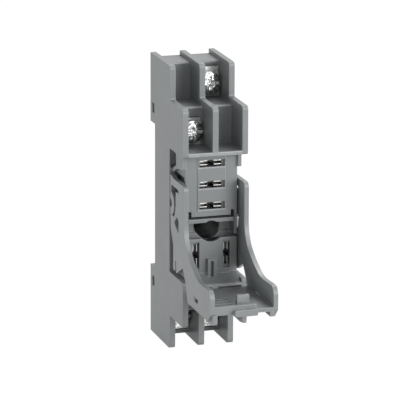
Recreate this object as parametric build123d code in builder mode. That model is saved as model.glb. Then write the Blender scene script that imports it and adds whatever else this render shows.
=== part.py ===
from build123d import *
from math import radians, tan
import os

# Relay socket for a slim plug-in relay, on a 35 mm rail or on a panel.
# Millimetres. X runs across the socket, Y from the front to the rear, Z up.
# The origin is on the rear plane, at the middle of the rail.

# Moulded body
body_width = 15.8
side_wall = 1.35
middle_wall = 1.35
corner_round = 1.0
edge_round = 0.5

# Height of the bay for the relay, and of the terminal tiers above and below it
relay_bay_height = 29.3
outer_tier_height = 8.2
outer_barrier_depth = 16.3
outer_floor_depth = 8.4
inner_tier_height = 11.5
inner_barrier_depth = 26.8
inner_floor_depth = 18.0
end_setback = 1.0
ledge_setback = 1.4
shelf_thickness = 1.0
lower_wall_drop = 0.7
relay_floor_drop = 1.5
relay_floor_thickness = 0.7

# Middle of the body, where the relay plugs in
waist_depth = 15.9
plateau_depth = 23.6
plateau_width = 12.6
band_step = 3.8
centre_band_width = 6.8
centre_band_proud = 0.15
band_groove_depth = 0.4
band_groove_height = 0.5
band_groove_drop = 3.35
band_groove_x = (3.4, 5.5)
tab_width = 9.6
tab_drop = 1.25
rail_rib_width = 11.0
rail_rib_height = 0.9
rail_rib_gap = 0.65
trench_wall = 1.0
trench_depth = 1.8
ledge_step = 0.8
ledge_height = 0.8
cheek_height = 6.0
cheek_thickness = 0.6
key_rib_width = 2.1
key_rib_height = 5.6
key_rib_proud = 1.0
key_slot_width = 0.7
key_slot_top = 0.6
floor_slope_rise = 2.07
floor_slope_run = 2.9
pad_proud = 0.3
pad_height = 3.05
pad_end = 4.5

# Gussets between the plateau and the upper terminals, each with a niche through it
gusset_thickness = 0.85
gusset_overhang = 0.6
gusset_front_drop = 3.4
gusset_knee_reach = 3.4
gusset_knee_drop = 4.2
gusset_point_reach = 0.7
gusset_point_drop = 5.5
gusset_frame = 0.7
niche_front = 2.8
niche_rear = 3.0
niche_height = 3.5
niche_inner = 4.4
niche_skin = 0.35

# Recess in each flank of the plateau, behind the lever's hub
flank_inner = 5.0
flank_skin = 1.2
flank_rib = 0.9
flank_low_gap = 0.1
flank_step = 1.0

# Relay contacts
contact_pitch = 5.08
top_contact_drop = 2.35
coil_spacing = 7.5
coil_drop = 12.0
slot_length = 6.5
slot_width = 1.75
slot_wall = 0.7
clip_thickness = 0.2
clip_width = 5.2
clip_split = 1.6
clip_mouth = 0.7
clip_mouth_length = 1.4
clip_throat = 0.2
clip_belly = 1.3
fit_clearance = 0.1

# Terminal straps, wire clamps and screws
strap_thickness = 0.8
strap_width = 5.2
strap_length = 6.2
strap_neck = 1.6
neck_low = 0.98
leg_width = 0.85
leg_outer = -5.8
leg_inner = -4.75
leg_jog_rise = 0.4
seat_gap = 0.3
contact_tab_height = 1.6
outer_strap_gap = 1.05
inner_strap_gap = 0.25
outer_screw_inset = 3.6
inner_screw_inset = 2.9
lower_screw_shift = 0.85
screw_hole_gap = 0.25
screw_cross = 3.2
clamp_size = 5.0
clamp_thickness = 0.8
clamp_corner = 0.5
screw_radius = 1.5
screw_head_radius = 2.7
screw_head_height = 1.9
screw_dome = 0.45
screw_tip_gap = 0.2
screw_slot_width = 0.75
screw_slot_depth = 0.9
thread_clearance = 0.05
serration_pitch = 0.35
serration_depth = 0.12
serration_count = 4

# Panel screw hole
mount_hole_radius = 1.75
mount_head_radius = 3.1
mount_seat_depth = 8.0
rib_notch_radius = 2.1

# Heights that hang from the contact rows
shoulder_drop = 1.29
mount_drop = 4.45
lower_plateau_drop = 2.2

# Rail channel and rear cover
rail_height = 35.0
rail_clearance = 0.2
rail_flange = 1.0
wall_channel_depth = 3.8
channel_ramp = 1.0
rear_cavity_depth = 4.0
rear_end_wall = 1.5
cover_inset = 0.2
cover_shoulder = 1.2
cover_clearance = 0.1
rail_seat_depth = 2.4
hook_reach = 1.5
hook_lead = 0.3
snap_window_height = 2.4
snap_window_width = 1.8
snap_gap = 3.65
snap_proud = 0.9
cover_flange = 1.0
guide_lip_thickness = 0.9

# Rail latch and its spring
latch_body_width = 7.2
latch_flange_width = 9.2
latch_clearance = 0.1
latch_nose = 1.2
latch_lead = 0.8
latch_end_inset = 0.35
latch_start_gap = 0.3
spring_radius = 0.95
spring_middle = 1.25
spring_wire = 0.3
spring_length = 7.0
spring_turns = 7
spring_slot_width = 2.4
spring_base_rise = 6.0
post_height = 1.2
post_width = 1.8
pry_slot_width = 3.6
pry_slot_height = 1.2
pry_slot_end = 1.3

# Retaining lever, measured from its pivot toward the front and down
lever_width = 15.6
wing_thickness = 1.1
wing_splay = 0.6
wing_gap = 0.25
pivot_reach = 0.65
pivot_drop = 13.05
pivot_pin_radius = 0.95
pivot_pin_inset = 0.75
pivot_clearance = 0.05
wing_reach = 11.15
wing_top_drop = 6.5
wing_round = 2.0
wing_top_round = 1.3
wing_straight = 2.1
curve_shares = ((0.131, 0.56), (0.503, 0.92))
curve_end_rise = 0.08
lever_reach = 49.2
wing_shoulder_rise = 4.75
wing_bottom_drop = 2.8
leg_gap = 4.1
leg_knee_rise = 0.85
tail_slope = 0.9
tail_root_rise = 3.75
tail_reach = 4.65
tail_rise = 0.9
slit_rise = 3.85
slit_width = 0.65
finger_rise = 1.35
finger_reach = 2.25
heel_drop = 9.6
hub_heel = 6.2
hub_horn = 0.5
hub_dip = 0.15
hub_ring = 2.85
hub_slot_reach = 3.95
hub_slot_start = 0.35
hub_slot_front = 4.3
hub_slot_top = 4.6
hub_slot_hook = 2.7
lever_shelf_rise = 0.2
lever_shelf_thickness = 0.95
lip_height = 1.1
lip_thickness = 0.9
lip_end_x = 2.9
thumb_tab_depth = 1.2
thumb_tab_width = 5.5
thumb_tab_height = 1.5
thumb_tab_round = 0.4
thumb_tab_x = 0.2
foot_thickness = 1.0
foot_corner = 2.15
foot_round = 0.3
finger_round = 0.2
feet = ((-7.0, 2.15), (0.05, 2.15), (6.7, 1.2))
catch_width = 2.9
catch_x = 1.3
catch_height = 2.0
catch_length = 0.9
catch_gap = 4.9
groove_x = (-6.2, -1.2)
groove_count = 3
groove_pitch = 1.9
groove_width = 0.8
groove_depth = 0.4
opening_round = 0.3

# Lever openings: depth and height from the pivot, and for the last from the lever's tip and shelf
wedge_opening = ((3.9, 4.6), (5.2, 4.6), (7.0, 4.3), (6.3, 3.7), (3.9, 3.7))
kite_opening = ((5.2, -2.1), (6.75, -2.85), (6.55, -5.85), (2.85, -4.0))
small_opening = ((13.25, 0.2), (9.65, 0.1), (10.2, -1.0), (12.9, -0.75))

# Places worked out from the sizes
cover_thickness = rear_cavity_depth - rail_seat_depth
half_width = body_width / 2
half_inner = half_width - side_wall
bay_top = relay_bay_height / 2
tier_step = bay_top + inner_tier_height
half_height = tier_step + outer_tier_height
lower_wall_top = -bay_top - lower_wall_drop
relay_floor = -bay_top - relay_floor_drop
block_end = half_height - end_setback
ledge = tier_step - ledge_setback
bay_centre = (half_inner + middle_wall / 2) / 2
rail_half = rail_height / 2 + rail_clearance
snap_z = rail_half + snap_gap
contact_rows = [bay_top - top_contact_drop - i * contact_pitch for i in range(3)]
coil_z = contact_rows[2] - coil_drop
shoulder_z = contact_rows[2] - shoulder_drop
mount_z = shoulder_z - mount_drop
lower_plateau_z = mount_z - lower_plateau_drop
band_depth = plateau_depth - band_step
half_plateau = plateau_width / 2
gusset_depth = plateau_depth + gusset_overhang
niche_depth = waist_depth + niche_front
flank_rear = waist_depth - niche_rear
strap_rear_inner = inner_floor_depth - strap_thickness
strap_rear_outer = outer_floor_depth - strap_thickness
screw_length = outer_floor_depth + clamp_thickness - rear_cavity_depth - screw_tip_gap
outer_end = ledge + outer_strap_gap + strap_length
inner_end = bay_top + shelf_thickness + inner_strap_gap + strap_length
outer_screw_z = outer_end - outer_screw_inset
inner_screw_z = inner_end - inner_screw_inset
clip_root = inner_floor_depth
clip_tip = plateau_depth - slot_wall - fit_clearance
clip_half_height = clip_belly / 2 + clip_thickness
rail_rib_top = shoulder_z - tab_drop - rail_rib_gap
cover_half = half_inner - cover_clearance
hook_front = rail_seat_depth - rail_flange - fit_clearance
latch_front = rail_seat_depth - latch_clearance
latch_step = cover_inset + guide_lip_thickness + latch_clearance
latch_foot = -half_height + latch_end_inset
spring_base_z = latch_foot + spring_base_rise
half_lever = lever_width / 2
wing_inner = half_lever - wing_thickness
wing_rear = waist_depth + wing_gap
wing_lean = tan(radians(wing_splay))
pivot_depth = waist_depth + pivot_reach
pivot_z = bay_top - pivot_drop
wing_front = pivot_depth + wing_reach
wing_top = bay_top - wing_top_drop
leg_rear = inner_barrier_depth + leg_gap
lever_shelf_z = relay_floor + lever_shelf_rise
wing_bottom_z = lever_shelf_z - wing_bottom_drop


def box(x, y, z, mode=Mode.ADD):
    """A block given by its two ends along X, Y and Z."""
    spans = (x, y, z)
    with Locations(tuple((low + high) / 2 for low, high in spans)):
        Box(*(abs(high - low) for low, high in spans), mode=mode)


def side_plate(outline, low, high, rounds=0, mode=Mode.ADD):
    """A plate with its outline in Y and Z, from one X to another."""
    with BuildSketch(Plane.YZ.offset(low)) as section:
        with BuildLine():
            FilletPolyline(*outline, radius=rounds, close=True)
        make_face()
    extrude(section.sketch, amount=high - low, mode=mode)


def front_plate(outline, front, rear, rounds=0, mode=Mode.ADD):
    """A plate with its outline in X and Z, between two depths behind the origin plane."""
    with BuildSketch(Plane.XZ.offset(rear)) as section:
        with BuildLine():
            FilletPolyline(*outline, radius=rounds, close=True)
        make_face()
    extrude(section.sketch, amount=front - rear, mode=mode)


def round_bar(radius, x, z, front, rear, mode=Mode.ADD):
    """A bar or a hole along Y, between two depths."""
    with BuildSketch(Plane.XZ.offset(rear)) as section:
        with Locations((x, z)):
            Circle(radius)
    extrude(section.sketch, amount=front - rear, mode=mode)


def barrier_outline():
    """The stepped outline of a barrier wall in Y and Z, with its corner radii."""
    small = corner_round / 2
    corners = [
        (0, half_height, 0),
        (-outer_barrier_depth, half_height, corner_round),
        (-outer_barrier_depth, tier_step, small),
        (-inner_barrier_depth, tier_step, corner_round),
        (-inner_barrier_depth, bay_top, small),
        (-waist_depth, bay_top, 0),
        (-waist_depth, lower_wall_top, 0),
        (-inner_barrier_depth, lower_wall_top, small),
        (-inner_barrier_depth, -tier_step, corner_round),
        (-outer_barrier_depth, -tier_step, small),
        (-outer_barrier_depth, -half_height, corner_round),
        (0, -half_height, 0),
    ]
    return [corner[:2] for corner in corners], [corner[2] for corner in corners]


def core_outline():
    """The solid middle of the body in Y and Z, with its corner radii."""
    fine = edge_round / 2
    corners = [
        (0, block_end, 0),
        (-outer_floor_depth, block_end, edge_round),
        (-outer_floor_depth, ledge, 0),
        (-inner_floor_depth, ledge, edge_round),
        (-inner_floor_depth, bay_top + shelf_thickness, 0),
        (-inner_barrier_depth, bay_top + shelf_thickness, fine),
        (-inner_barrier_depth, bay_top, fine),
        (-waist_depth, bay_top, 0),
        (-waist_depth, relay_floor, 0),
        (-inner_barrier_depth, relay_floor, fine),
        (-inner_barrier_depth, relay_floor - relay_floor_thickness, fine),
        (-inner_floor_depth, relay_floor - relay_floor_thickness, 0),
        (-inner_floor_depth, -ledge, edge_round),
        (-outer_floor_depth, -ledge, 0),
        (-outer_floor_depth, -block_end, edge_round),
        (0, -block_end, 0),
    ]
    return [corner[:2] for corner in corners], [corner[2] for corner in corners]


def add_plateau():
    """The raised face that the relay stands on, with its tab, rib, ledges and key."""
    half_tab = tab_width / 2
    upper = [
        (-half_plateau, bay_top),
        (half_plateau, bay_top),
        (half_plateau, shoulder_z),
        (half_tab, shoulder_z),
        (half_tab, shoulder_z - tab_drop),
        (-half_tab, shoulder_z - tab_drop),
        (-half_tab, shoulder_z),
        (-half_plateau, shoulder_z),
    ]
    front_plate(upper, plateau_depth, waist_depth)
    half_band = centre_band_width / 2
    face = (-plateau_depth - centre_band_proud, -plateau_depth)
    box((-half_band, half_band), face, (shoulder_z, bay_top))
    box((-half_plateau, half_plateau), (-band_depth, -waist_depth), (lower_plateau_z, shoulder_z))
    half_rib = rail_rib_width / 2
    rib = (rail_rib_top - rail_rib_height, rail_rib_top)
    box((-half_rib, half_rib), (-plateau_depth, -band_depth), rib)
    box((-half_plateau, half_plateau), (-plateau_depth, -waist_depth), (relay_floor, lower_plateau_z))
    trench = (-plateau_depth + trench_wall, -band_depth - ledge_step)
    in_cheeks = half_plateau - cheek_thickness
    trench_z = (lower_plateau_z - trench_depth, lower_plateau_z)
    box((-in_cheeks, in_cheeks), trench, trench_z, Mode.SUBTRACT)
    ledge_y = (-band_depth - ledge_step, -band_depth)
    box((-half_plateau, half_plateau), ledge_y, (lower_plateau_z, lower_plateau_z + ledge_height))
    for side in (-1, 1):
        cheek = (side * in_cheeks, side * half_plateau)
        cheek_z = (shoulder_z - cheek_height, shoulder_z)
        box(cheek, (-plateau_depth + fit_clearance, -band_depth), cheek_z)
    groove_z = (shoulder_z - band_groove_drop - band_groove_height, shoulder_z - band_groove_drop)
    box(band_groove_x, (-band_depth, -band_depth + band_groove_depth), groove_z, Mode.SUBTRACT)
    slope = [
        (-plateau_depth, relay_floor),
        (-plateau_depth, relay_floor + floor_slope_rise),
        (-plateau_depth - floor_slope_run, relay_floor),
    ]
    side_plate(slope, -half_plateau, half_plateau)


def add_key():
    """The upright key rib with its slot, and the flat pad beside it."""
    half_key = key_rib_width / 2
    key_z = (relay_floor, relay_floor + key_rib_height)
    box((-half_key, half_key), (-plateau_depth - key_rib_proud, -plateau_depth), key_z)
    half_slot = key_slot_width / 2
    slot_z = (relay_floor, relay_floor + key_rib_height - key_slot_top)
    box((-half_slot, half_slot), (-plateau_depth - key_rib_proud, -plateau_depth), slot_z, Mode.SUBTRACT)
    pad_z = (relay_floor, relay_floor + pad_height)
    box((half_key, pad_end), (-plateau_depth - pad_proud, -plateau_depth), pad_z)


def add_flank(side):
    """One flank of the plateau: a V-bottomed gusset, the niche and recess in it, the pivot pin."""
    outline = [
        (-waist_depth, bay_top),
        (-gusset_depth, bay_top),
        (-gusset_depth, bay_top - gusset_front_drop),
        (-waist_depth - gusset_knee_reach, bay_top - gusset_knee_drop),
        (-waist_depth - gusset_point_reach, bay_top - gusset_point_drop),
        (-waist_depth, bay_top - gusset_point_drop),
    ]
    low, high = sorted((side * half_plateau, side * (half_plateau + gusset_thickness)))
    side_plate(outline, low, high)
    niche_low = bay_top - gusset_point_drop + gusset_frame
    niche = [
        (-flank_rear, bay_top),
        (-niche_depth, bay_top),
        (-niche_depth, bay_top - niche_height),
        (-waist_depth, niche_low),
        (-flank_rear, niche_low),
    ]
    low, high = sorted((side * niche_inner, side * (half_width - niche_skin)))
    side_plate(niche, low, high, mode=Mode.SUBTRACT)
    recess = [
        (-flank_rear, niche_low - flank_rib),
        (-plateau_depth + flank_skin, niche_low - flank_rib),
        (-plateau_depth + flank_skin, shoulder_z + flank_step),
        (-band_depth + flank_skin, shoulder_z + flank_step),
        (-band_depth + flank_skin, lower_plateau_z + flank_low_gap),
        (-flank_rear, lower_plateau_z + flank_low_gap),
    ]
    low, high = sorted((side * flank_inner, side * half_inner))
    side_plate(recess, low, high, mode=Mode.SUBTRACT)
    pin_low, pin_high = sorted((side * flank_inner, side * (half_width - pivot_pin_inset)))
    with BuildSketch(Plane.YZ.offset(pin_low)) as pin_section:
        with Locations((-pivot_depth, pivot_z)):
            Circle(pivot_pin_radius)
    extrude(pin_section.sketch, amount=pin_high - pin_low)


def cut_contact(x, z, upright):
    """A blade slot in the plateau and the pocket behind it that holds a contact clip."""
    wide = clip_width / 2 + fit_clearance
    high = clip_half_height + fit_clearance
    slot = (slot_width / 2, slot_length / 2) if upright else (slot_length / 2, slot_width / 2)
    pocket = (high, wide) if upright else (wide, high)
    front = (-plateau_depth - key_rib_proud, -plateau_depth + slot_wall)
    box((x - slot[0], x + slot[0]), front, (z - slot[1], z + slot[1]), Mode.SUBTRACT)
    depth = (-plateau_depth + slot_wall, -rear_cavity_depth)
    box((x - pocket[0], x + pocket[0]), depth, (z - pocket[1], z + pocket[1]), Mode.SUBTRACT)


def add_clip(x, z, upright):
    """A tulip contact of spring sheet: a base and two pairs of leaves that pinch a blade."""
    across = (0, 0, 1) if upright else (-1, 0, 0)
    belly = clip_belly / 2
    bend = clip_root + clip_thickness + belly
    throat = clip_tip - clip_mouth_length
    mouth = clip_mouth / 2
    inside = [
        (clip_root + clip_thickness, belly),
        (bend, belly),
        (throat, clip_throat / 2),
        (clip_tip, mouth),
    ]
    outside = [
        (clip_tip, mouth + clip_thickness),
        (throat, clip_throat / 2 + clip_thickness),
        (bend, belly + clip_thickness),
        (clip_root, belly + clip_thickness),
    ]
    half = inside + outside
    outline = half + [(depth, -way) for depth, way in reversed(half)]
    with BuildSketch(Plane(origin=(x, 0, z), x_dir=(0, -1, 0), z_dir=across)) as section:
        with BuildLine():
            Polyline(*outline, close=True)
        make_face()
    extrude(section.sketch, amount=clip_width / 2, both=True)
    reach = clip_half_height + clip_thickness
    half_split = clip_split / 2
    split = (-clip_tip - 1, -clip_root - 2 * clip_thickness)
    if upright:
        box((x - reach, x + reach), split, (z - half_split, z + half_split), Mode.SUBTRACT)
    else:
        box((x - half_split, x + half_split), split, (z - reach, z + reach), Mode.SUBTRACT)


def screw_place(side, way, outer):
    """The X and Z of a terminal screw and the depth of the floor that it stands on."""
    if outer:
        return side * bay_centre, way * outer_screw_z, outer_floor_depth
    shift = lower_screw_shift if way < 0 else 0
    return side * bay_centre, way * (inner_screw_z + shift), inner_floor_depth


def plate_ends(way, outer):
    """The near and far end of a terminal plate, as distances from the middle of the body."""
    if outer:
        return outer_end - strap_length, outer_end
    if way > 0:
        return inner_end - strap_length, inner_end
    near = -relay_floor + relay_floor_thickness + inner_strap_gap
    return near, inner_end + lower_screw_shift


def add_plate(side, way, outer):
    """The screw plate of a strap: threaded hole, and serrations that grip the wire."""
    x, z, floor = screw_place(side, way, outer)
    near, far = plate_ends(way, outer)
    half = strap_width / 2
    box((x - half, x + half), (-floor, -floor + strap_thickness), sorted((way * near, way * far)))
    round_bar(screw_radius + thread_clearance, x, z, floor, floor - strap_thickness, Mode.SUBTRACT)
    for number in range(serration_count):
        middle = way * (far - (number + 1) * serration_pitch)
        groove = (middle - serration_pitch / 4, middle + serration_pitch / 4)
        box((x - half, x + half), (-floor, -floor + serration_depth), groove, Mode.SUBTRACT)


def add_rear_strap(side, way, neck, turn, tab_x, tab_z):
    """An outer terminal's strap: plate, neck inside the moulding, turn forward, contact tab."""
    add_plate(side, way, True)
    near = plate_ends(way, True)[0]
    edge = turn - way * strap_thickness
    box(neck, (-outer_floor_depth, -strap_rear_outer), sorted((way * near, turn)))
    box(neck, (-inner_floor_depth, -strap_rear_outer), sorted((edge, turn)))
    box(tab_x, (-inner_floor_depth, -strap_rear_inner), tab_z)


def cut_seat(side, way, outer):
    """The recess in a terminal floor for a strap's plate, and clearance behind the screw."""
    x, z, floor = screw_place(side, way, outer)
    near, far = plate_ends(way, outer)
    reach = strap_width / 2 + fit_clearance
    ends = sorted((way * (near - fit_clearance), way * (far + seat_gap)))
    box((x - reach, x + reach), (-floor - fit_clearance, -floor + strap_thickness), ends, Mode.SUBTRACT)
    round_bar(screw_radius + screw_hole_gap, x, z, floor, floor - screw_length, Mode.SUBTRACT)


def wing_plane(side):
    """The inner face of a lever wing; the wings open slightly toward the front."""
    lean = side * wing_lean
    start = (side * wing_inner - lean * pivot_depth, 0, 0)
    return Plane(origin=start, x_dir=(-lean, 1, 0), z_dir=(1, lean, 0))


def inner_reach(depth):
    """How far a lever wing's inner face stands from the middle, at a depth."""
    return wing_inner + (depth - pivot_depth) * wing_lean


def wing_face():
    """The outline of a lever wing in Y and Z, made inside an open sketch."""
    top_front = (-wing_front, wing_top)
    curve_start = (-wing_front, pivot_z - wing_straight)
    curve_end = (-lever_reach + 2 * wing_round, lever_shelf_z + wing_shoulder_rise)
    run = curve_end[0] - curve_start[0]
    fall = curve_end[1] - curve_start[1]
    tail = -pivot_depth - tail_reach
    finger = -pivot_depth - finger_reach
    edge = [
        (curve_end, 0),
        ((-lever_reach, curve_end[1]), wing_round),
        ((-lever_reach, wing_bottom_z + foot_corner), foot_round),
        ((-lever_reach + foot_corner, wing_bottom_z), foot_round),
        ((-leg_rear, wing_bottom_z), foot_round),
        ((-leg_rear + 2 * tail_slope, lower_wall_top + leg_knee_rise), corner_round),
        ((-wing_front + tail_slope, lower_wall_top + tail_root_rise), foot_round),
        ((tail, lower_wall_top + tail_rise), foot_round),
        ((tail, lower_wall_top + slit_rise), 0),
        ((tail + slit_width, lower_wall_top + slit_rise), 0),
        ((tail + slit_width, lower_wall_top + finger_rise), finger_round),
        ((finger, lower_wall_top + finger_rise), finger_round),
        ((finger, pivot_z - heel_drop), corner_round),
        ((-pivot_depth, pivot_z - hub_heel), corner_round),
        ((-wing_rear, pivot_z), 0),
        ((-wing_rear, wing_top + hub_horn), foot_round),
        ((-wing_rear - hub_horn * 2, wing_top + hub_horn / 2), foot_round),
        ((finger - hub_horn, wing_top - hub_dip), corner_round),
        (top_front, wing_top_round),
        (curve_start, 0),
    ]
    places = [place for place, _ in edge]
    rounds = [radius for _, radius in edge][1:-1]
    steps = [(curve_start[0] + run * share[0], curve_start[1] + fall * share[1]) for share in curve_shares]
    with BuildLine() as outline:
        FilletPolyline(*places, radius=rounds)
        Spline(curve_start, *steps, curve_end, tangents=((0, -1), (-1, curve_end_rise)))
    make_face(outline.edges())


def hub_cutouts():
    """The openings of a lever wing: pivot hole, crescent with its wedge, kite and small slot."""
    pivot = (-pivot_depth, pivot_z)
    with Locations(pivot):
        Circle(pivot_pin_radius + pivot_clearance, mode=Mode.SUBTRACT)
    with BuildSketch(mode=Mode.PRIVATE) as crescent:
        with Locations(pivot):
            Circle(hub_slot_reach)
        # Keeps only the part in front of the hub, down to the slot's lower hook
        with Locations((hub_slot_reach - hub_slot_start - pivot_depth, pivot_z)):
            Rectangle(2 * hub_slot_reach, 2 * hub_slot_reach, mode=Mode.SUBTRACT)
        with Locations((-pivot_depth, pivot_z - hub_slot_hook - hub_slot_reach)):
            Rectangle(4 * hub_slot_reach, 2 * hub_slot_reach, mode=Mode.SUBTRACT)
        with Locations((-pivot_depth - (hub_slot_start + hub_slot_front) / 2, pivot_z + hub_slot_top / 2)):
            Rectangle(hub_slot_front - hub_slot_start, hub_slot_top)
        with Locations(pivot):
            Circle(hub_ring, mode=Mode.SUBTRACT)
    add(crescent.sketch, mode=Mode.SUBTRACT)
    openings = [[(-pivot_depth - y, pivot_z + z) for y, z in hole] for hole in (wedge_opening, kite_opening)]
    openings.append([(-lever_reach + y, lever_shelf_z + z) for y, z in small_opening])
    for opening in openings:
        with BuildLine() as edge:
            FilletPolyline(*opening, radius=opening_round, close=True)
        make_face(edge.edges(), mode=Mode.SUBTRACT)


def add_clamp(side, way, outer):
    """A square wire clamp under a screw head, with its two wire edges turned down."""
    x, z, floor = screw_place(side, way, outer)
    with BuildSketch(Plane.XZ.offset(floor)) as washer:
        with Locations((x, z)):
            RectangleRounded(clamp_size, clamp_size, clamp_corner)
            Circle(screw_radius + fit_clearance, mode=Mode.SUBTRACT)
    extrude(washer.sketch, amount=clamp_thickness)


def add_screw(side, way, outer):
    """A pan head screw with a slot crossed by a shorter one."""
    x, z, floor = screw_place(side, way, outer)
    under_head = floor + clamp_thickness
    top = under_head + screw_head_height
    round_bar(screw_radius, x, z, under_head, under_head - screw_length)
    tip = edges().filter_by(GeomType.CIRCLE).sort_by(Axis.Y)[-1]
    chamfer(tip, screw_radius / 5)
    with BuildSketch(Plane(origin=(x, -under_head, z), x_dir=(1, 0, 0), z_dir=(0, 0, 1))) as head:
        with BuildLine():
            Line((0, 0), (screw_head_radius, 0))
            Line((screw_head_radius, 0), (screw_head_radius, screw_dome - screw_head_height))
            ThreePointArc(
                (screw_head_radius, screw_dome - screw_head_height),
                (screw_head_radius * 0.72, screw_dome / 3 - screw_head_height),
                (0, -screw_head_height),
            )
            Line((0, -screw_head_height), (0, 0))
        make_face()
    revolve(head.sketch, axis=Axis((x, -under_head, z), (0, 1, 0)))
    slot = (-top - 1, -top + screw_slot_depth)
    half = screw_slot_width / 2
    box((x - screw_head_radius, x + screw_head_radius), slot, (z - half, z + half), Mode.SUBTRACT)
    box((x - half, x + half), slot, (z - screw_cross / 2, z + screw_cross / 2), Mode.SUBTRACT)


# Every terminal: its name, its side, its end of the body, and whether it is on the outer tier
terminals = {
    "top_outer": (1, 1, True),
    "top_inner": (-1, 1, False),
    "bottom_inner": (-1, -1, False),
    "coil_left": (-1, -1, True),
    "coil_right": (1, -1, True),
}

# Every contact clip: the X and Z of its slot and whether it stands upright
contacts = {
    "top_outer": (0, contact_rows[1], False),
    "top_inner": (0, contact_rows[0], False),
    "bottom_inner": (0, contact_rows[2], False),
    "coil_left": (-coil_spacing / 2, coil_z, True),
    "coil_right": (coil_spacing / 2, coil_z, True),
}

tab_span = (-clip_width / 2, clip_width / 2)
half_tab_height = contact_tab_height / 2

with BuildPart() as strap_top_outer:
    right_neck = (neck_low, neck_low + strap_neck)
    row = contact_rows[1]
    turn = row
    add_rear_strap(1, 1, right_neck, turn, tab_span, (row - half_tab_height, row + strap_thickness))

with BuildPart() as strap_coil_left:
    left_coil = (-coil_spacing / 2 - clip_half_height, -coil_spacing / 2 + clip_half_height)
    coil_low = coil_z - clip_width / 2
    coil_tab = (coil_low, coil_z + clip_width / 2)
    add_rear_strap(-1, -1, left_coil, coil_low, left_coil, coil_tab)

with BuildPart() as strap_coil_right:
    right_coil = (coil_spacing / 2 - clip_half_height, coil_spacing / 2 + clip_half_height)
    add_rear_strap(1, -1, right_coil, coil_low, right_coil, coil_tab)

flat_strap_y = (-inner_floor_depth, -strap_rear_inner)

with BuildPart() as strap_top_inner:
    add_plate(-1, 1, False)
    row = contact_rows[0]
    left_neck = (-neck_low - strap_neck, -neck_low)
    box(left_neck, flat_strap_y, (row, plate_ends(1, False)[0]))
    box(tab_span, flat_strap_y, (row - half_tab_height, row + half_tab_height))

with BuildPart() as strap_bottom_inner:
    add_plate(-1, -1, False)
    row = contact_rows[2]
    # The leg steps inward above the coil contact, clear of the recess in the flank
    jog_low = coil_z + clip_width / 2 + fit_clearance + leg_jog_rise
    jog_high = jog_low + leg_width
    box((leg_outer, leg_outer + leg_width), flat_strap_y, (-plate_ends(-1, False)[0], jog_high))
    box((leg_outer, leg_inner + leg_width), flat_strap_y, (jog_low, jog_high))
    box((leg_inner, leg_inner + leg_width), flat_strap_y, (jog_low, row + half_tab_height))
    box((leg_inner, clip_width / 2), flat_strap_y, (row - half_tab_height, row + half_tab_height))

straps = {
    "top_outer": strap_top_outer,
    "top_inner": strap_top_inner,
    "bottom_inner": strap_bottom_inner,
    "coil_left": strap_coil_left,
    "coil_right": strap_coil_right,
}

with BuildPart() as housing:
    wall_corners, wall_rounds = barrier_outline()
    for wall_low, wall_wide in (
        (-half_width, side_wall),
        (-middle_wall / 2, middle_wall),
        (half_inner, side_wall),
    ):
        side_plate(wall_corners, wall_low, wall_low + wall_wide, wall_rounds)
    core_corners, core_rounds = core_outline()
    side_plate(core_corners, -half_inner, half_inner, core_rounds)
    # The bay for the relay is clear of the middle wall
    bay_x = (-half_inner, half_inner)
    box(bay_x, (-inner_barrier_depth - 1, -waist_depth), (relay_floor, bay_top), Mode.SUBTRACT)
    add_plateau()
    add_key()
    for side in (-1, 1):
        add_flank(side)
    # Rear cavity, closed at the top end and open at the lower end
    box(bay_x, (-rear_cavity_depth, 1), (-half_height - 1, block_end - rear_end_wall), Mode.SUBTRACT)
    lid_seat = (-cover_inset - cover_thickness, 1)
    box(bay_x, lid_seat, (block_end - 2 * rear_end_wall, block_end), Mode.SUBTRACT)
    # Rail channel across the side walls, with a ramp at its lower corner
    channel = [
        (1, rail_half),
        (-wall_channel_depth, rail_half),
        (-wall_channel_depth, channel_ramp - rail_half),
        (-rail_seat_depth, -rail_half),
        (1, -rail_half),
    ]
    side_plate(channel, -half_width - 1, half_width + 1, mode=Mode.SUBTRACT)
    # Snap windows for the rear cover
    for way in (-1, 1):
        window_y = (-rail_seat_depth - snap_window_width / 2, -rail_seat_depth + snap_window_width / 2)
        window_z = (way * snap_z - snap_window_height / 2, way * snap_z + snap_window_height / 2)
        box((-half_width - 1, half_width + 1), window_y, window_z, Mode.SUBTRACT)
    # Panel screw hole with a seat for the head, and a notch in the rib in front of it
    round_bar(mount_head_radius, 0, mount_z, band_depth, mount_seat_depth, Mode.SUBTRACT)
    with BuildSketch(Plane.XZ.offset(band_depth)) as driver_way:
        with Locations((0, mount_z)):
            Circle(mount_head_radius)
        with Locations((0, rail_rib_top - rail_rib_height + mount_head_radius)):
            Rectangle(4 * mount_head_radius, 2 * mount_head_radius, mode=Mode.SUBTRACT)
        with Locations((0, mount_z)):
            Circle(rib_notch_radius)
    extrude(driver_way.sketch, amount=plateau_depth + 1 - band_depth, mode=Mode.SUBTRACT)
    round_bar(mount_hole_radius, 0, mount_z, mount_seat_depth, 0, Mode.SUBTRACT)
    # Blade slots, clip pockets, plate seats and the moulded-in straps
    for x, z, upright in contacts.values():
        cut_contact(x, z, upright)
    for side, way, outer in terminals.values():
        cut_seat(side, way, outer)
    for strap in straps.values():
        add(strap.part, mode=Mode.SUBTRACT)
housing.part.label = "housing"

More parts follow.
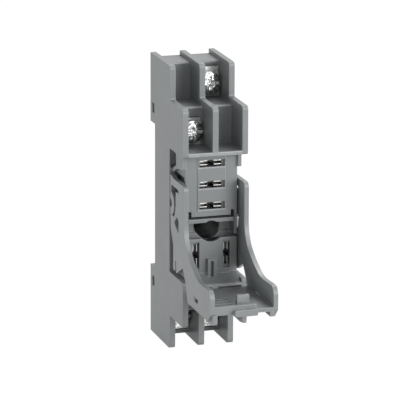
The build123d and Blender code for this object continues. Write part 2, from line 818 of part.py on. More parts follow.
with BuildPart() as rear_cover:
    profile = [
        (-cover_inset, block_end - fit_clearance / 2),
        (-cover_inset, rail_half - hook_reach),
        (-hook_front, rail_half - hook_reach + hook_lead),
        (-hook_front, rail_half),
        (-rail_seat_depth, rail_half),
        (-rail_seat_depth, -block_end),
        (-rear_cavity_depth, -block_end),
        (-rear_cavity_depth, rail_half + cover_shoulder),
        (-cover_inset - cover_thickness, rail_half + cover_shoulder),
        (-cover_inset - cover_thickness, block_end - fit_clearance / 2),
    ]
    side_plate(profile, -cover_half, cover_half)
    guide_z = (-block_end, -rail_half)
    for side in (-1, 1):
        guide = sorted((side * (latch_flange_width / 2 + latch_clearance), side * cover_half))
        box(guide, (-rail_seat_depth, -cover_inset), guide_z)
        lip = sorted((side * (latch_body_width / 2 + latch_clearance), side * cover_half))
        box(lip, (-cover_inset - guide_lip_thickness, -cover_inset), guide_z)
        flange = sorted((side * (cover_half - cover_flange), side * cover_half))
        flange_z = (rail_half + cover_shoulder, snap_z + snap_window_height)
        box(flange, (-rear_cavity_depth, -cover_inset - cover_thickness), flange_z)
        for way in (-1, 1):
            nib_half = (snap_window_height / 2 - fit_clearance, snap_window_width / 2 - fit_clearance)
            nib = [
                (side * (cover_half - fit_clearance), -rail_seat_depth - nib_half[1]),
                (side * (cover_half + snap_proud), -rail_seat_depth),
                (side * (cover_half + snap_proud), -rail_seat_depth + nib_half[1]),
                (side * (cover_half - fit_clearance), -rail_seat_depth + nib_half[1]),
            ]
            with BuildSketch(Plane.XY.offset(way * snap_z - nib_half[0])) as nib_section:
                with BuildLine():
                    Polyline(*nib, close=True)
                make_face()
            extrude(nib_section.sketch, amount=2 * nib_half[0])
    post_z = (spring_base_z - post_height, spring_base_z)
    box((-post_width / 2, post_width / 2), (-rail_seat_depth, -cover_inset - guide_lip_thickness), post_z)
    round_bar(mount_hole_radius, 0, mount_z, rear_cavity_depth, 0, Mode.SUBTRACT)
rear_cover.part.label = "rear_cover"

with BuildPart() as rail_latch:
    half_flange = latch_flange_width / 2
    half_body = latch_body_width / 2
    flange_top = -rail_half - latch_start_gap
    nose_top = -rail_half + latch_nose
    box((-half_flange, half_flange), (-latch_front, -latch_step), (latch_foot, flange_top))
    body = [
        (-latch_step, latch_foot),
        (-cover_inset, latch_foot),
        (-cover_inset, nose_top - latch_lead),
        (-hook_front, nose_top),
        (-hook_front, flange_top - fit_clearance),
        (-latch_step, flange_top - fit_clearance),
    ]
    side_plate(body, -half_body, half_body)
    slot_z = (post_z[0] - fit_clearance, spring_base_z + spring_length)
    half_slot = spring_slot_width / 2
    box((-half_slot, half_slot), (-latch_front - 1, 1), slot_z, Mode.SUBTRACT)
    pry_z = (latch_foot + pry_slot_end, latch_foot + pry_slot_end + pry_slot_height)
    box((-pry_slot_width / 2, pry_slot_width / 2), (-latch_front - 1, 1), pry_z, Mode.SUBTRACT)
rail_latch.part.label = "rail_latch"

with BuildPart() as latch_spring:
    coil_radius = spring_radius - spring_wire / 2
    coil_height = spring_length - spring_wire
    coil_start = (0, -spring_middle, spring_base_z + spring_wire / 2)
    with BuildLine():
        Helix(coil_height / spring_turns, coil_height, coil_radius, center=coil_start)
    start = (coil_radius, -spring_middle, spring_base_z + spring_wire / 2)
    with BuildSketch(Plane(origin=start, x_dir=(1, 0, 0), z_dir=(0, 1, 0))):
        Circle(spring_wire / 2)
    sweep()
latch_spring.part.label = "latch_spring"

with BuildPart() as retaining_lever:
    for side in (-1, 1):
        with BuildSketch(wing_plane(side)) as wing:
            wing_face()
            hub_cutouts()
        extrude(wing.sketch, amount=side * wing_thickness)
    shelf_top = lever_shelf_z
    shelf_low = lever_shelf_z - lever_shelf_thickness
    shelf_front = -lever_reach + lip_thickness
    with BuildSketch(Plane.XY.offset(shelf_low)) as shelf:
        with BuildLine():
            Polyline(
                (-inner_reach(leg_rear), -leg_rear),
                (-inner_reach(lever_reach), -lever_reach),
                (inner_reach(lever_reach), -lever_reach),
                (inner_reach(leg_rear), -leg_rear),
                close=True,
            )
        make_face()
    extrude(shelf.sketch, amount=lever_shelf_thickness)
    lip_z = (shelf_low, shelf_top + lip_height)
    box((-inner_reach(lever_reach), lip_end_x), (-lever_reach, shelf_front), lip_z)
    tab_z = shelf_top + lever_shelf_thickness / 4 - thumb_tab_height / 2
    with BuildSketch(Plane.XZ.offset(lever_reach - fit_clearance)) as thumb:
        with Locations((thumb_tab_x, tab_z)):
            RectangleRounded(thumb_tab_width, thumb_tab_height, thumb_tab_round)
    extrude(thumb.sketch, amount=thumb_tab_depth + fit_clearance)
    for foot_x, drop in feet:
        foot = (foot_x - foot_thickness / 2, foot_x + foot_thickness / 2)
        box(foot, (-lever_reach, -leg_rear), (shelf_low - drop, shelf_low))
    catch = (catch_x - catch_width / 2, catch_x + catch_width / 2)
    catch_front = -lever_reach + catch_gap
    box(catch, (catch_front, catch_front + catch_length), (shelf_top, shelf_top + catch_height))
    for number in range(groove_count):
        groove_front = catch_front + number * groove_pitch
        groove_y = (groove_front, groove_front + groove_width)
        box(groove_x, groove_y, (shelf_top - groove_depth, shelf_top), Mode.SUBTRACT)
retaining_lever.part.label = "retaining_lever"

os.makedirs("parts", exist_ok=True)
for piece in (housing, rear_cover, rail_latch, latch_spring, retaining_lever):
    export_step(piece.part, "parts/" + piece.part.label + ".step")

for name, strap in straps.items():
    strap.part.label = "strap_" + name
    export_step(strap.part, "parts/" + strap.part.label + ".step")

for name, (x, z, upright) in contacts.items():
    with BuildPart() as clip:
        add_clip(x, z, upright)
    clip.part.label = "clip_" + name
    export_step(clip.part, "parts/" + clip.part.label + ".step")

for name, (side, way, outer) in terminals.items():
    with BuildPart() as clamp:
        add_clamp(side, way, outer)
    clamp.part.label = "clamp_" + name
    export_step(clamp.part, "parts/" + clamp.part.label + ".step")
    with BuildPart() as screw:
        add_screw(side, way, outer)
    screw.part.label = "screw_" + name
    export_step(screw.part, "parts/" + screw.part.label + ".step")
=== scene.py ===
import math
import bpy
import bmesh
from mathutils import Matrix, Vector


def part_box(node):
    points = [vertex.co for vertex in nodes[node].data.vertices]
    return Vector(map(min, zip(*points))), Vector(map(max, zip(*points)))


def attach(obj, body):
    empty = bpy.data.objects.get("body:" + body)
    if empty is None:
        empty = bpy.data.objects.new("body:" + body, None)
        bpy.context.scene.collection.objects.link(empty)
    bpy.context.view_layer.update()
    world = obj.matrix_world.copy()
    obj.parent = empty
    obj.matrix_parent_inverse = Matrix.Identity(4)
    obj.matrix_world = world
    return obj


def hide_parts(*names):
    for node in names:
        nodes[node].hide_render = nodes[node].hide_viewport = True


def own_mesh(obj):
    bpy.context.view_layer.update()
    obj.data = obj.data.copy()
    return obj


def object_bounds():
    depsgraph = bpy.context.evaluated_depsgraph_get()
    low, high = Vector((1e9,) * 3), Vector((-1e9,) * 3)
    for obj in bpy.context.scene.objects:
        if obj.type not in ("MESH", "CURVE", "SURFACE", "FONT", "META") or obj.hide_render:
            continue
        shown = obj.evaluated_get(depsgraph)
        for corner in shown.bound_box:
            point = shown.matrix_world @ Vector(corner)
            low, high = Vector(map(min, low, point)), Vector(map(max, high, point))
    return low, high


# Relay socket in satin grey polyamide with plated screws, on white paper under four soft lamps.
# Metres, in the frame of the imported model: X across the socket, Y from the front to the rear, Z up.

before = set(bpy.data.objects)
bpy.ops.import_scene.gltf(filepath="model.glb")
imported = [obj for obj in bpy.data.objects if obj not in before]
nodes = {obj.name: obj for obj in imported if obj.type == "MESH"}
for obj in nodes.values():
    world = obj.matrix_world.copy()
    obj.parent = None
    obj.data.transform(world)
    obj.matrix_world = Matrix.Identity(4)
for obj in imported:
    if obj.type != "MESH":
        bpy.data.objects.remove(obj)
cad_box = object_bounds()
MM = 0.001
FLOAT, VECTOR = "NodeSocketFloat", "NodeSocketVector"


def linear_channel(value):
    """One channel of a screen colour, from 0 to 255, as linear light."""
    share = value / 255
    return share / 12.92 if share <= 0.04045 else ((share + 0.055) / 1.055) ** 2.4


def linear(code):
    """A six-digit colour code as the linear colour that a shader takes."""
    return tuple(linear_channel(int(code[i:i + 2], 16)) for i in (0, 2, 4)) + (1.0,)


def wire(tree, a, out, b, into):
    """Joins the output of one node to the input of another."""
    tree.links.new(a.outputs[out], b.inputs[into])


def new_group(name, inputs, outputs, kind="ShaderNodeTree"):
    """An empty node group with its sockets, and its two end nodes."""
    group = bpy.data.node_groups.new(name, kind)
    for label, socket_type, *value in inputs:
        socket = group.interface.new_socket(label, in_out="INPUT", socket_type=socket_type)
        if value:
            socket.default_value = value[0]
    for label, socket_type in outputs:
        group.interface.new_socket(label, in_out="OUTPUT", socket_type=socket_type)
    return group, group.nodes.new("NodeGroupInput"), group.nodes.new("NodeGroupOutput")


def feed(tree, value, socket):
    """Gives a node's input a number, or the value of another node's output."""
    if isinstance(value, (int, float)):
        socket.default_value = value
    else:
        tree.links.new(value, socket)


def add_math(tree, operation, *values, clamp=False):
    """A Math node fed with sockets or numbers; gives its output socket."""
    node = tree.nodes.new("ShaderNodeMath")
    node.operation = operation
    node.use_clamp = clamp
    for i, value in enumerate(values):
        feed(tree, value, node.inputs[i])
    return node.outputs[0]


def add_range(tree, value, low, high):
    """A value taken from one range to zero to one; gives its output socket."""
    spread = tree.nodes.new("ShaderNodeMapRange")
    spread.inputs["From Min"].default_value = low
    spread.inputs["From Max"].default_value = high
    tree.links.new(value, spread.inputs["Value"])
    return spread.outputs["Result"]


def inside(tree, value, low, high, blur):
    """One between two values, with a soft start and end; gives its output socket."""
    rising = add_range(tree, value, low - blur, low + blur)
    falling = add_range(tree, value, high + blur, high - blur)
    return add_math(tree, "MULTIPLY", rising, falling)


def noise(tree, vector, scale, detail, rough=0.5):
    """A noise texture on the given coordinates; gives its value socket."""
    node = tree.nodes.new("ShaderNodeTexNoise")
    node.inputs["Detail"].default_value = detail
    node.inputs["Roughness"].default_value = rough
    feed(tree, scale, node.inputs["Scale"])
    tree.links.new(vector, node.inputs["Vector"])
    return node.outputs["Fac"]


def make_moulded_grain():
    """Spark-eroded mould texture with faint flow marks: height, tone and roughness."""
    fine_share, flow_share, speck_share, roughness_swing = 0.8, 0.2, 0.6, 0.16
    group, start, end = new_group(
        "moulded_grain",
        [("Vector", VECTOR), ("Grain Scale", FLOAT, 5200.0), ("Flow Scale", FLOAT, 120.0),
         ("Tone", FLOAT, 0.06), ("Roughness", FLOAT, 0.5)],
        [("Height", FLOAT), ("Tone", FLOAT), ("Roughness", FLOAT)],
    )
    fine = noise(group, start.outputs["Vector"], start.outputs["Grain Scale"], detail=3.0, rough=0.6)
    flow = noise(group, start.outputs["Vector"], start.outputs["Flow Scale"], detail=4.0, rough=0.55)
    fine_height = add_math(group, "MULTIPLY", fine, fine_share)
    height = add_math(group, "MULTIPLY_ADD", flow, flow_share, fine_height)
    group.links.new(height, end.inputs["Height"])
    swing = add_math(group, "SUBTRACT", flow, 0.5)
    speck = add_math(group, "MULTIPLY", add_math(group, "SUBTRACT", fine, 0.5), speck_share)
    both = add_math(group, "ADD", swing, speck)
    tone = add_math(group, "MULTIPLY_ADD", both, start.outputs["Tone"], 1.0)
    group.links.new(tone, end.inputs["Tone"])
    rough = add_math(group, "MULTIPLY_ADD", swing, roughness_swing, start.outputs["Roughness"], clamp=True)
    group.links.new(rough, end.inputs["Roughness"])
    return group


def make_painted_edge_sheen():
    """Painted highlight: paler where a surface turns over an edge, and where it rounds off between the
    front and the top towards the lamp.
    """
    just_turned, fully_turned = 0.01, 0.25
    leaves_front, meets_top, faces_front = (0.1, 0.3), (0.79, 0.68), (-0.3, -0.6)
    group, start, end = new_group(
        "painted_edge_sheen",
        [("Flat Normal", VECTOR), ("Round Normal", VECTOR), ("Amount", FLOAT, 0.8),
         ("Lit Amount", FLOAT, 0.28)],
        [("Mask", FLOAT)],
    )
    dot = group.nodes.new("ShaderNodeVectorMath")
    dot.operation = "DOT_PRODUCT"
    group.links.new(start.outputs["Flat Normal"], dot.inputs[0])
    group.links.new(start.outputs["Round Normal"], dot.inputs[1])
    turned = add_math(group, "SUBTRACT", 1.0, dot.outputs["Value"])
    edge = add_math(group, "MULTIPLY", add_range(group, turned, just_turned, fully_turned),
                    start.outputs["Amount"])
    split = group.nodes.new("ShaderNodeSeparateXYZ")
    group.links.new(start.outputs["Round Normal"], split.inputs[0])
    rising = add_range(group, split.outputs["Z"], *leaves_front)
    falling = add_range(group, split.outputs["Z"], *meets_top)
    forward = add_range(group, split.outputs["Y"], *faces_front)
    lit = add_math(group, "MULTIPLY", add_math(group, "MULTIPLY", rising, falling), forward)
    mask = add_math(group, "MULTIPLY_ADD", lit, start.outputs["Lit Amount"], edge, clamp=True)
    group.links.new(mask, end.inputs["Mask"])
    return group


def make_handling_dust():
    """Pale dust that settles on faces that look up, broken up by noise."""
    bare, covered = 0.35, 0.75
    group, start, end = new_group(
        "handling_dust",
        [("Vector", VECTOR), ("Normal", VECTOR), ("Amount", FLOAT, 0.06), ("Patch Scale", FLOAT, 260.0)],
        [("Mask", FLOAT)],
    )
    split = group.nodes.new("ShaderNodeSeparateXYZ")
    group.links.new(start.outputs["Normal"], split.inputs[0])
    up = add_math(group, "MAXIMUM", split.outputs["Z"], 0.0)
    patch = noise(group, start.outputs["Vector"], start.outputs["Patch Scale"], detail=5.0, rough=0.65)
    mask = add_math(group, "MULTIPLY", up, add_range(group, patch, bare, covered))
    mask = add_math(group, "MULTIPLY", mask, start.outputs["Amount"], clamp=True)
    group.links.new(mask, end.inputs["Mask"])
    return group


def make_plated_marks():
    """Drawing lines, tumbling dents and fine pits of plated metal: height, tone and roughness."""
    line_stretch = (0.12, 1.0, 1.0)
    dent_share, line_share, roughness_swing = 0.8, 0.2, 0.3
    tarnished, bright = 0.42, 0.58
    group, start, end = new_group(
        "plated_marks",
        [("Vector", VECTOR), ("Line Scale", FLOAT, 3200.0), ("Dent Scale", FLOAT, 1500.0),
         ("Roughness", FLOAT, 0.2), ("Tarnish", FLOAT, 0.5)],
        [("Height", FLOAT), ("Tone", FLOAT), ("Roughness", FLOAT)],
    )
    stretch = group.nodes.new("ShaderNodeMapping")
    stretch.inputs["Scale"].default_value = line_stretch
    group.links.new(start.outputs["Vector"], stretch.inputs["Vector"])
    lines = noise(group, stretch.outputs[0], start.outputs["Line Scale"], detail=3.0, rough=0.6)
    dents = noise(group, start.outputs["Vector"], start.outputs["Dent Scale"], detail=3.0, rough=0.55)
    line_height = add_math(group, "MULTIPLY", lines, line_share)
    height = add_math(group, "MULTIPLY_ADD", dents, dent_share, line_height)
    group.links.new(height, end.inputs["Height"])
    dark = add_math(group, "SUBTRACT", 1.0, add_range(group, dents, tarnished, bright))
    tone = add_math(group, "SUBTRACT", 1.0, add_math(group, "MULTIPLY", dark, start.outputs["Tarnish"]))
    group.links.new(tone, end.inputs["Tone"])
    swing = add_math(group, "SUBTRACT", lines, 0.5)
    rough = add_math(group, "MULTIPLY_ADD", swing, roughness_swing, start.outputs["Roughness"], clamp=True)
    group.links.new(rough, end.inputs["Roughness"])
    return group


moulded_grain = make_moulded_grain()
painted_edge_sheen = make_painted_edge_sheen()
handling_dust = make_handling_dust()
plated_marks = make_plated_marks()


def start_material(name):
    """A new material with its node tree and its principled shader."""
    material = bpy.data.materials.new(name)
    material.use_nodes = True
    return material, material.node_tree, material.node_tree.nodes["Principled BSDF"]


def use_group(tree, group, **values):
    """A shader group placed in a material, with the material's own values."""
    node = tree.nodes.new("ShaderNodeGroup")
    node.node_tree = group
    for label, value in values.items():
        node.inputs[label].default_value = value
    return node


def toned(tree, code, tone):
    """A colour multiplied by a tone that changes over the surface."""
    scale = tree.nodes.new("ShaderNodeVectorMath")
    scale.operation = "SCALE"
    scale.inputs[0].default_value = linear(code)[:3]
    tree.links.new(tone, scale.inputs["Scale"])
    return scale.outputs[0]


def blend(tree, factor, first, code):
    """A colour that gives way to another one where the factor is high."""
    mix = tree.nodes.new("ShaderNodeMix")
    mix.data_type = "RGBA"
    tree.links.new(factor, mix.inputs["Factor"])
    tree.links.new(first, mix.inputs["A"])
    mix.inputs["B"].default_value = linear(code)
    return mix.outputs["Result"]


def rounded_edges(tree, radius):
    """The normal that the surface would have with its edges rounded."""
    edge = tree.nodes.new("ShaderNodeBevel")
    edge.samples = 6
    edge.inputs["Radius"].default_value = radius
    return edge


def emboss(tree, relief, edge, shader, strength, depth):
    """Bumps the shader's normal by a relief, on top of the rounded edges."""
    bump = tree.nodes.new("ShaderNodeBump")
    bump.inputs["Strength"].default_value = strength
    bump.inputs["Distance"].default_value = depth
    wire(tree, relief, "Height", bump, "Height")
    wire(tree, edge, "Normal", bump, "Normal")
    wire(tree, bump, "Normal", shader, "Normal")


def brighten_rims(tree, across, rims, edge_radius, sheen):
    """Raises the painted highlight on rounded rims that lie between two distances from the middle."""
    rim_gain = 0.6
    away = add_math(tree, "ABSOLUTE", across)
    past_inner = add_range(tree, away, rims[0], rims[0] + edge_radius)
    before_outer = add_range(tree, away, rims[1], rims[1] - edge_radius)
    between = add_math(tree, "MULTIPLY", past_inner, before_outer)
    usual = sheen.inputs["Lit Amount"].default_value
    lit = add_math(tree, "MULTIPLY_ADD", between, rim_gain, usual)
    tree.links.new(lit, sheen.inputs["Lit Amount"])


def tint_spots(tree, body, vector, split, spots):
    """The body colour with another colour in each spot, broken up by noise."""
    patch_scale, patch_full, soft_border = 700.0, 0.6, 0.1 * MM
    patch = add_range(tree, noise(tree, vector, patch_scale, detail=3.0), 0.0, patch_full)
    for limits, code, share in spots:
        amount = add_math(tree, "MULTIPLY", patch, share)
        for axis, (low, high) in limits.items():
            near = inside(tree, split.outputs[axis], low * MM, high * MM, soft_border)
            amount = add_math(tree, "MULTIPLY", amount, near)
        body = blend(tree, amount, body, code)
    return body


def moulded_plastic(name, code, highlight_code, roughness, edge_radius, rims=None, spots=()):
    """Satin moulded polyamide with a painted highlight on its rounded edges, most of all on rims between
    walls.
    """
    dust_code = "b4b6b6"
    material, tree, shader = start_material(name)
    place = tree.nodes.new("ShaderNodeTexCoord")
    grain = use_group(tree, moulded_grain, Roughness=roughness)
    wire(tree, place, "Object", grain, "Vector")
    geometry = tree.nodes.new("ShaderNodeNewGeometry")
    edge = rounded_edges(tree, edge_radius)
    sheen = use_group(tree, painted_edge_sheen)
    wire(tree, geometry, "Normal", sheen, "Flat Normal")
    wire(tree, edge, "Normal", sheen, "Round Normal")
    split = tree.nodes.new("ShaderNodeSeparateXYZ")
    wire(tree, place, "Object", split, "Vector")
    if rims:
        brighten_rims(tree, split.outputs["X"], rims, edge_radius, sheen)
    settled = use_group(tree, handling_dust)
    wire(tree, place, "Object", settled, "Vector")
    wire(tree, geometry, "Normal", settled, "Normal")
    # Painted highlight: the edge mask turns the body towards the pale highlight colour
    body = blend(tree, sheen.outputs["Mask"], toned(tree, code, grain.outputs["Tone"]), highlight_code)
    if spots:
        body = tint_spots(tree, body, place.outputs["Object"], split, spots)
    body = blend(tree, settled.outputs["Mask"], body, dust_code)
    tree.links.new(body, shader.inputs["Base Color"])
    wire(tree, grain, "Roughness", shader, "Roughness")
    emboss(tree, grain, edge, shader, strength=0.3, depth=0.03 * MM)
    shader.inputs["IOR"].default_value = 1.5
    shader.inputs["Specular IOR Level"].default_value = 0.4
    return material


def plated_metal(name, code, roughness, edge_radius, dent, tarnish):
    """Plated or tinned sheet and screws."""
    material, tree, shader = start_material(name)
    place = tree.nodes.new("ShaderNodeTexCoord")
    marks = use_group(tree, plated_marks, Roughness=roughness, Tarnish=tarnish)
    wire(tree, place, "Object", marks, "Vector")
    tree.links.new(toned(tree, code, marks.outputs["Tone"]), shader.inputs["Base Color"])
    wire(tree, marks, "Roughness", shader, "Roughness")
    emboss(tree, marks, rounded_edges(tree, edge_radius), shader, strength=dent, depth=0.25 * MM)
    shader.inputs["Metallic"].default_value = 1.0
    return material


def spot(x, y, z, code, share):
    """A place of another colour: its limits along each axis in millimetres, and how much shows."""
    return {"X": x, "Y": y, "Z": z}, code, share


def about(middle, below, above=None):
    """The limits on the two sides of a middle value; both as far away, unless above is given."""
    return middle - below, middle + (below if above is None else above)


def middle_height(node_name):
    """The height of the middle of a node, in millimetres."""
    low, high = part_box(node_name)
    return (low.z + high.z) / 2 / MM


# Faces, edges and rows of the socket that the spots follow, in millimetres
barrier_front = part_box("housing")[0].y / MM
terminal_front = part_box("clip_top_inner")[1].y / MM
contact_face, chamber_mouth, bore_front, bore_rear = -23.6, -22.4, -20.0, -6.0
closing_shelf, ledge, relay_floor = 15.15, 24.75, -16.15
power_rows = [middle_height("clip_" + row) for row in ("top_inner", "top_outer", "bottom_inner")]
coil_row, screw_row = middle_height("clip_coil_left"), -3.6
between_walls = about(0.0, 6.5)
niche_x, niche_y, niche_z = 6.15, -12.85, 12.5
catch_middle, catch_reach = (1.3, -43.9, -14.7), (1.6, 0.7, 1.0)

# Painted highlights: paler colour on the rims of the closing shelf, the ledge and the relay floor, on the
# slot lips and on the lever's catch block
painted_highlight = "b4b7b7"
painted_rim_highlights = [
    spot(between_walls, about(barrier_front, 0.2), about(closing_shelf, 0.5), painted_highlight, 0.3),
    spot(between_walls, about(terminal_front, 0.3, 0.5), about(ledge, 0.4, 0.15), painted_highlight, 0.65),
    spot(between_walls, about(barrier_front, 0.3, 0.5), about(relay_floor, 1.15, 0.25), painted_highlight, 0.45),
]
# Painted highlight along the lip below each contact slot
painted_slot_lip_highlights = [spot(about(0.0, 3.4), about(contact_face, 0.4), about(row - 1.0, 0.15), painted_highlight, 0.6)
             for row in power_rows]
# Painted highlight on the front of the lever's catch block
painted_catch_highlight = spot(*map(about, catch_middle, catch_reach), painted_highlight, 0.55)

# Painted shade in the contact chambers and the screw bore, and painted light on the rear walls of the two
# niches
painted_shade, painted_light = "141616", "cfd4d3"
painted_chamber_shade = [
    spot(about(0.0, 3.5), (chamber_mouth, terminal_front + 0.5),
         (power_rows[-1] - 1.1, power_rows[0] + 1.1), painted_shade, 1.0),
    spot(about(0.0, 4.9), (chamber_mouth, terminal_front + 0.5), about(coil_row, 3.5, 3.46), painted_shade, 1.0),
]
painted_bore_shade = spot(about(0.0, 3.3), (bore_front, bore_rear), about(screw_row, 3.3), painted_shade, 0.6)
# Painted light on the rear wall of each side niche
painted_niche_light = [spot(about(side * niche_x, 1.55), about(niche_y, 0.45), about(niche_z, 2.7), painted_light, 1.0)
          for side in (-1, 1)]

bay_rims = (0.6 * MM, 6.6 * MM)
housing_spots = [*painted_rim_highlights, *painted_niche_light, *painted_chamber_shade, painted_bore_shade, *painted_slot_lip_highlights]
# Each plastic's second colour is its painted edge highlight
housing_grey = moulded_plastic("housing_grey", "7b7e7f", "b4b7b7", 0.46, 0.18 * MM,
                               rims=bay_rims, spots=housing_spots)
cover_grey = moulded_plastic("cover_grey", "787b7c", "b0b3b3", 0.5, 0.12 * MM)
lever_grey = moulded_plastic("lever_grey", "7e8182", "b2b5b5", 0.42, 0.2 * MM, spots=[painted_catch_highlight])
latch_grey = moulded_plastic("latch_grey", "757879", "adb0b0", 0.45, 0.12 * MM)
tinned_strap = plated_metal("tinned_strap", "dcdddc", 0.35, 0.05 * MM, dent=0.03, tarnish=0.1)
tinned_clip = plated_metal("tinned_clip", "e2e2e0", 0.3, 0.04 * MM, dent=0.05, tarnish=0.05)
zinc_clamp = plated_metal("zinc_clamp", "e0e2e2", 0.15, 0.08 * MM, dent=0.3, tarnish=0.4)
nickel_screw = plated_metal("nickel_screw", "f0f1f0", 0.12, 0.1 * MM, dent=0.8, tarnish=0.78)
spring_steel = plated_metal("spring_steel", "9a9c9e", 0.3, 0.03 * MM, dent=0.1, tarnish=0.2)

finishes = {
    "housing": housing_grey,
    "rear_cover": cover_grey,
    "retaining_lever": lever_grey,
    "rail_latch": latch_grey,
    "latch_spring": spring_steel,
    "strap_": tinned_strap,
    "clip_": tinned_clip,
    "clamp_": zinc_clamp,
    "screw_": nickel_screw,
}
for node_name, node in nodes.items():
    for start_of_name, material in finishes.items():
        if node_name.startswith(start_of_name):
            for material_slot in node.material_slots:
                material_slot.material = material


def shown_mesh(source, name):
    """A plain smooth mesh piece of what an object shows; the object itself goes."""
    bpy.context.view_layer.update()
    ready = source.evaluated_get(bpy.context.evaluated_depsgraph_get())
    piece = bpy.data.objects.new(name, bpy.data.meshes.new_from_object(ready))
    piece.data.name = name
    bpy.data.objects.remove(source)
    bpy.context.scene.collection.objects.link(piece)
    for face in piece.data.polygons:
        face.use_smooth = True
    return piece


def make_rib_rows():
    """Rows of round ribs, one row below each point of the mesh that comes in."""
    tree, start, end = new_group(
        "rib_rows",
        [("Geometry", "NodeSocketGeometry"), ("Count", "NodeSocketInt"), ("Pitch", FLOAT),
         ("Length", FLOAT), ("Radius", FLOAT), ("Material", "NodeSocketMaterial")],
        [("Geometry", "NodeSocketGeometry")],
        kind="GeometryNodeTree",
    )
    step = tree.nodes.new("ShaderNodeCombineXYZ")
    down = add_math(tree, "MULTIPLY", start.outputs["Pitch"], -1.0)
    tree.links.new(down, step.inputs["Z"])
    row = tree.nodes.new("GeometryNodeMeshLine")
    wire(tree, start, "Count", row, "Count")
    wire(tree, step, "Vector", row, "Offset")
    rib = tree.nodes.new("GeometryNodeMeshCylinder")
    rib.inputs["Vertices"].default_value = 10
    wire(tree, start, "Radius", rib, "Radius")
    wire(tree, start, "Length", rib, "Depth")
    along = tree.nodes.new("GeometryNodeInstanceOnPoints")
    along.inputs["Rotation"].default_value = (0.0, math.pi / 2, 0.0)
    wire(tree, row, "Mesh", along, "Points")
    wire(tree, rib, "Mesh", along, "Instance")
    rows = tree.nodes.new("GeometryNodeInstanceOnPoints")
    wire(tree, start, "Geometry", rows, "Points")
    wire(tree, along, "Instances", rows, "Instance")
    real = tree.nodes.new("GeometryNodeRealizeInstances")
    wire(tree, rows, "Instances", real, "Geometry")
    paint = tree.nodes.new("GeometryNodeSetMaterial")
    wire(tree, real, "Geometry", paint, "Geometry")
    wire(tree, start, "Material", paint, "Material")
    wire(tree, paint, "Geometry", end, "Geometry")
    return tree


def rib_starts(count, pitch):
    """The point on each strap's plate where its row of ribs begins, in the frame."""
    end_band = 0.1 * MM
    starts = []
    for name in sorted(nodes):
        if not name.startswith("strap_"):
            continue
        strap = nodes[name]
        corners = [strap.matrix_world @ vertex.co for vertex in strap.data.vertices]
        outer = max((corner.z for corner in corners), key=abs)
        end = [corner for corner in corners if abs(corner.z - outer) < end_band]
        middle_x = (min(corner.x for corner in end) + max(corner.x for corner in end)) / 2
        front = min(corner.y for corner in end)
        top = outer - pitch / 2 if outer > 0 else outer + pitch * (count - 0.5)
        starts.append((middle_x, front, top))
    return starts


rib_count, rib_pitch, rib_length, rib_radius = 5, 0.35 * MM, 4.9 * MM, 0.04 * MM
seed_mesh = bpy.data.meshes.new("rib_seeds")
seed_mesh.from_pydata(rib_starts(rib_count, rib_pitch), [], [])
seeds = bpy.data.objects.new("rib_seeds", seed_mesh)
bpy.context.scene.collection.objects.link(seeds)
rows = seeds.modifiers.new("rows", "NODES")
rows.node_group = make_rib_rows()
wanted = {
    "Count": rib_count,
    "Pitch": rib_pitch,
    "Length": rib_length,
    "Radius": rib_radius,
    "Material": tinned_strap,
}
for item in rows.node_group.interface.items_tree:
    if item.in_out == "INPUT" and item.name in wanted:
        rows[item.identifier] = wanted[item.name]
grip_ribs = shown_mesh(seeds, "grip_ribs")
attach(grip_ribs, "base")


def coil_line(low, high, wire_width, turns, steps=24):
    """The points of a compression spring's wire: a closed turn at each end, open ones between."""
    middle_x, middle_y = (low[0] + high[0]) / 2, (low[1] + high[1]) / 2
    reach = (high[0] - low[0] - wire_width) / 2
    bottom, top = low[2] + wire_width / 2, high[2] - wire_width / 2
    points = []
    for i in range(turns * steps + 1):
        turn = i / steps
        if turn < 1:
            z = bottom + turn * wire_width
        elif turn > turns - 1:
            z = top - (turns - turn) * wire_width
        else:
            z = bottom + wire_width + (turn - 1) / (turns - 2) * (top - bottom - 2 * wire_width)
        angle = 2 * math.pi * turn
        points.append((middle_x + reach * math.cos(angle), middle_y + reach * math.sin(angle), z))
    return points


spring_low, spring_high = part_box("latch_spring")
spring_turns, spring_wire_width = 8, 0.3 * MM
line = bpy.data.curves.new("coil_line", "CURVE")
line.dimensions = "3D"
line.bevel_depth = spring_wire_width / 2
line.bevel_resolution = 3
line.use_fill_caps = True
path_points = coil_line(spring_low, spring_high, spring_wire_width, spring_turns)
wire_path = line.splines.new("POLY")
wire_path.points.add(len(path_points) - 1)
for point, position in zip(wire_path.points, path_points):
    point.co = position + (1.0,)
line_object = bpy.data.objects.new("coil_line", line)
bpy.context.scene.collection.objects.link(line_object)
coil_spring = shown_mesh(line_object, "coil_spring")
coil_spring.data.materials.clear()
coil_spring.data.materials.append(spring_steel)
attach(coil_spring, "base")
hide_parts("latch_spring")
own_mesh(coil_spring)


def seen_directly(tree):
    """One for rays from the camera, in mirrors and through glass; zero for the rest."""
    path = tree.nodes.new("ShaderNodeLightPath")
    seen = add_math(tree, "MAXIMUM", path.outputs["Is Camera Ray"], path.outputs["Is Transmission Ray"])
    return add_math(tree, "MAXIMUM", seen, path.outputs["Is Glossy Ray"])


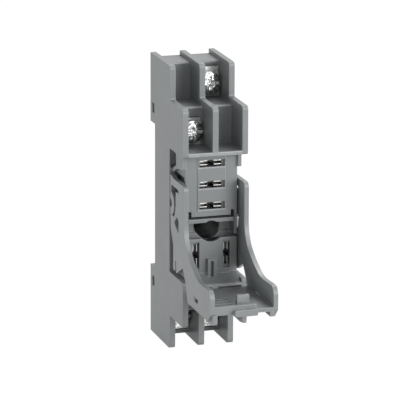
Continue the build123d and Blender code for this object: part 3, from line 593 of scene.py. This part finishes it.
def paper_white():
    """Pale paper that the camera and reflections see as white, and that still takes the shadow."""
    paper_tone, glow_strength, glow_share = 0.82, 1.03, 0.97
    material, tree, shader = start_material("paper_white")
    shader.inputs["Base Color"].default_value = (paper_tone, paper_tone, paper_tone, 1.0)
    shader.inputs["Roughness"].default_value = 0.9
    glow = tree.nodes.new("ShaderNodeEmission")
    glow.inputs["Color"].default_value = (1.0, 1.0, 1.0, 1.0)
    glow.inputs["Strength"].default_value = glow_strength
    share = add_math(tree, "MULTIPLY", seen_directly(tree), glow_share)
    mix = tree.nodes.new("ShaderNodeMixShader")
    tree.links.new(share, mix.inputs["Fac"])
    wire(tree, shader, "BSDF", mix, 1)
    wire(tree, glow, "Emission", mix, 2)
    wire(tree, mix, "Shader", tree.nodes["Material Output"], "Surface")
    return material


def floor_mesh(z, half):
    """A wide flat floor."""
    mesh = bpy.data.meshes.new("floor")
    shape = bmesh.new()
    sides = ((-half, -half), (half, -half), (half, half), (-half, half))
    shape.faces.new([shape.verts.new((x, y, z)) for x, y in sides])
    shape.to_mesh(mesh)
    shape.free()
    return mesh


floor_reach = 1.5
floor = bpy.data.objects.new("floor", floor_mesh(cad_box[0][2], floor_reach))
bpy.context.scene.collection.objects.link(floor)
floor.data.materials.append(paper_white())

# White all round: dim as a light, and bright where the camera or a mirror sees it
sky_light, sky_seen = 0.26, 1.02
world = bpy.data.worlds.new("studio")
bpy.context.scene.world = world
world.use_nodes = True
sky = world.node_tree
soft = sky.nodes["Background"]
white = sky.nodes.new("ShaderNodeBackground")
for background, strength in ((soft, sky_light), (white, sky_seen)):
    background.inputs["Color"].default_value = (1.0, 1.0, 1.0, 1.0)
    background.inputs["Strength"].default_value = strength
blend_sky = sky.nodes.new("ShaderNodeMixShader")
sky.links.new(seen_directly(sky), blend_sky.inputs["Fac"])
wire(sky, soft, "Background", blend_sky, 1)
wire(sky, white, "Background", blend_sky, 2)
wire(sky, blend_sky, "Shader", sky.nodes["World Output"], "Surface")


def add_softbox(name, position, target, side, power):
    """A square area lamp that looks at a point."""
    lamp = bpy.data.lights.new(name, "AREA")
    lamp.shape = "SQUARE"
    lamp.size = side
    lamp.energy = power
    holder = bpy.data.objects.new(name, lamp)
    bpy.context.scene.collection.objects.link(holder)
    holder.location = position
    holder.rotation_euler = (Vector(target) - Vector(position)).to_track_quat("-Z", "Y").to_euler()


socket_middle = (0.0, -0.02, 0.0)
add_softbox("left_softbox", (-0.9, -0.03, 0.05), socket_middle, side=0.5, power=4.0)
add_softbox("right_softbox", (0.56, -0.74, 0.16), socket_middle, side=0.8, power=11.4)
add_softbox("front_fill", (-0.2, -0.85, 0.2), socket_middle, side=0.3, power=0.6)
add_softbox("top_rear_softbox", (0.3, 0.5, 0.76), socket_middle, side=0.45, power=5.2)

# The photo's camera: its direction, its distance from the point it aims at, and its focal length
azimuth, elevation, roll = math.radians(17.14), math.radians(14.72), math.radians(0.20)
distance = 0.7668
aim = Vector((-0.00165, -0.02, 0.002665))
focal_pixels, photo_width, sensor_width = 3271.4, 400, 36.0
look = Vector((
    math.sin(azimuth) * math.cos(elevation),
    math.cos(azimuth) * math.cos(elevation),
    -math.sin(elevation),
))
right = look.cross(Vector((0, 0, 1))).normalized()
up = right.cross(look)
turned_right = math.cos(roll) * right + math.sin(roll) * up
turned_up = math.cos(roll) * up - math.sin(roll) * right
camera_data = bpy.data.cameras.new("camera")
camera_data.sensor_fit = "HORIZONTAL"
camera_data.sensor_width = sensor_width
camera_data.lens = focal_pixels / photo_width * sensor_width
camera_data.clip_start = 0.01
camera_data.clip_end = 10.0
camera = bpy.data.objects.new("camera", camera_data)
bpy.context.scene.collection.objects.link(camera)
turn = Matrix((turned_right, turned_up, -look)).transposed().to_4x4()
camera.matrix_world = Matrix.Translation(aim - distance * look) @ turn
bpy.context.scene.camera = camera

bpy.context.scene.view_settings.view_transform = "Standard"
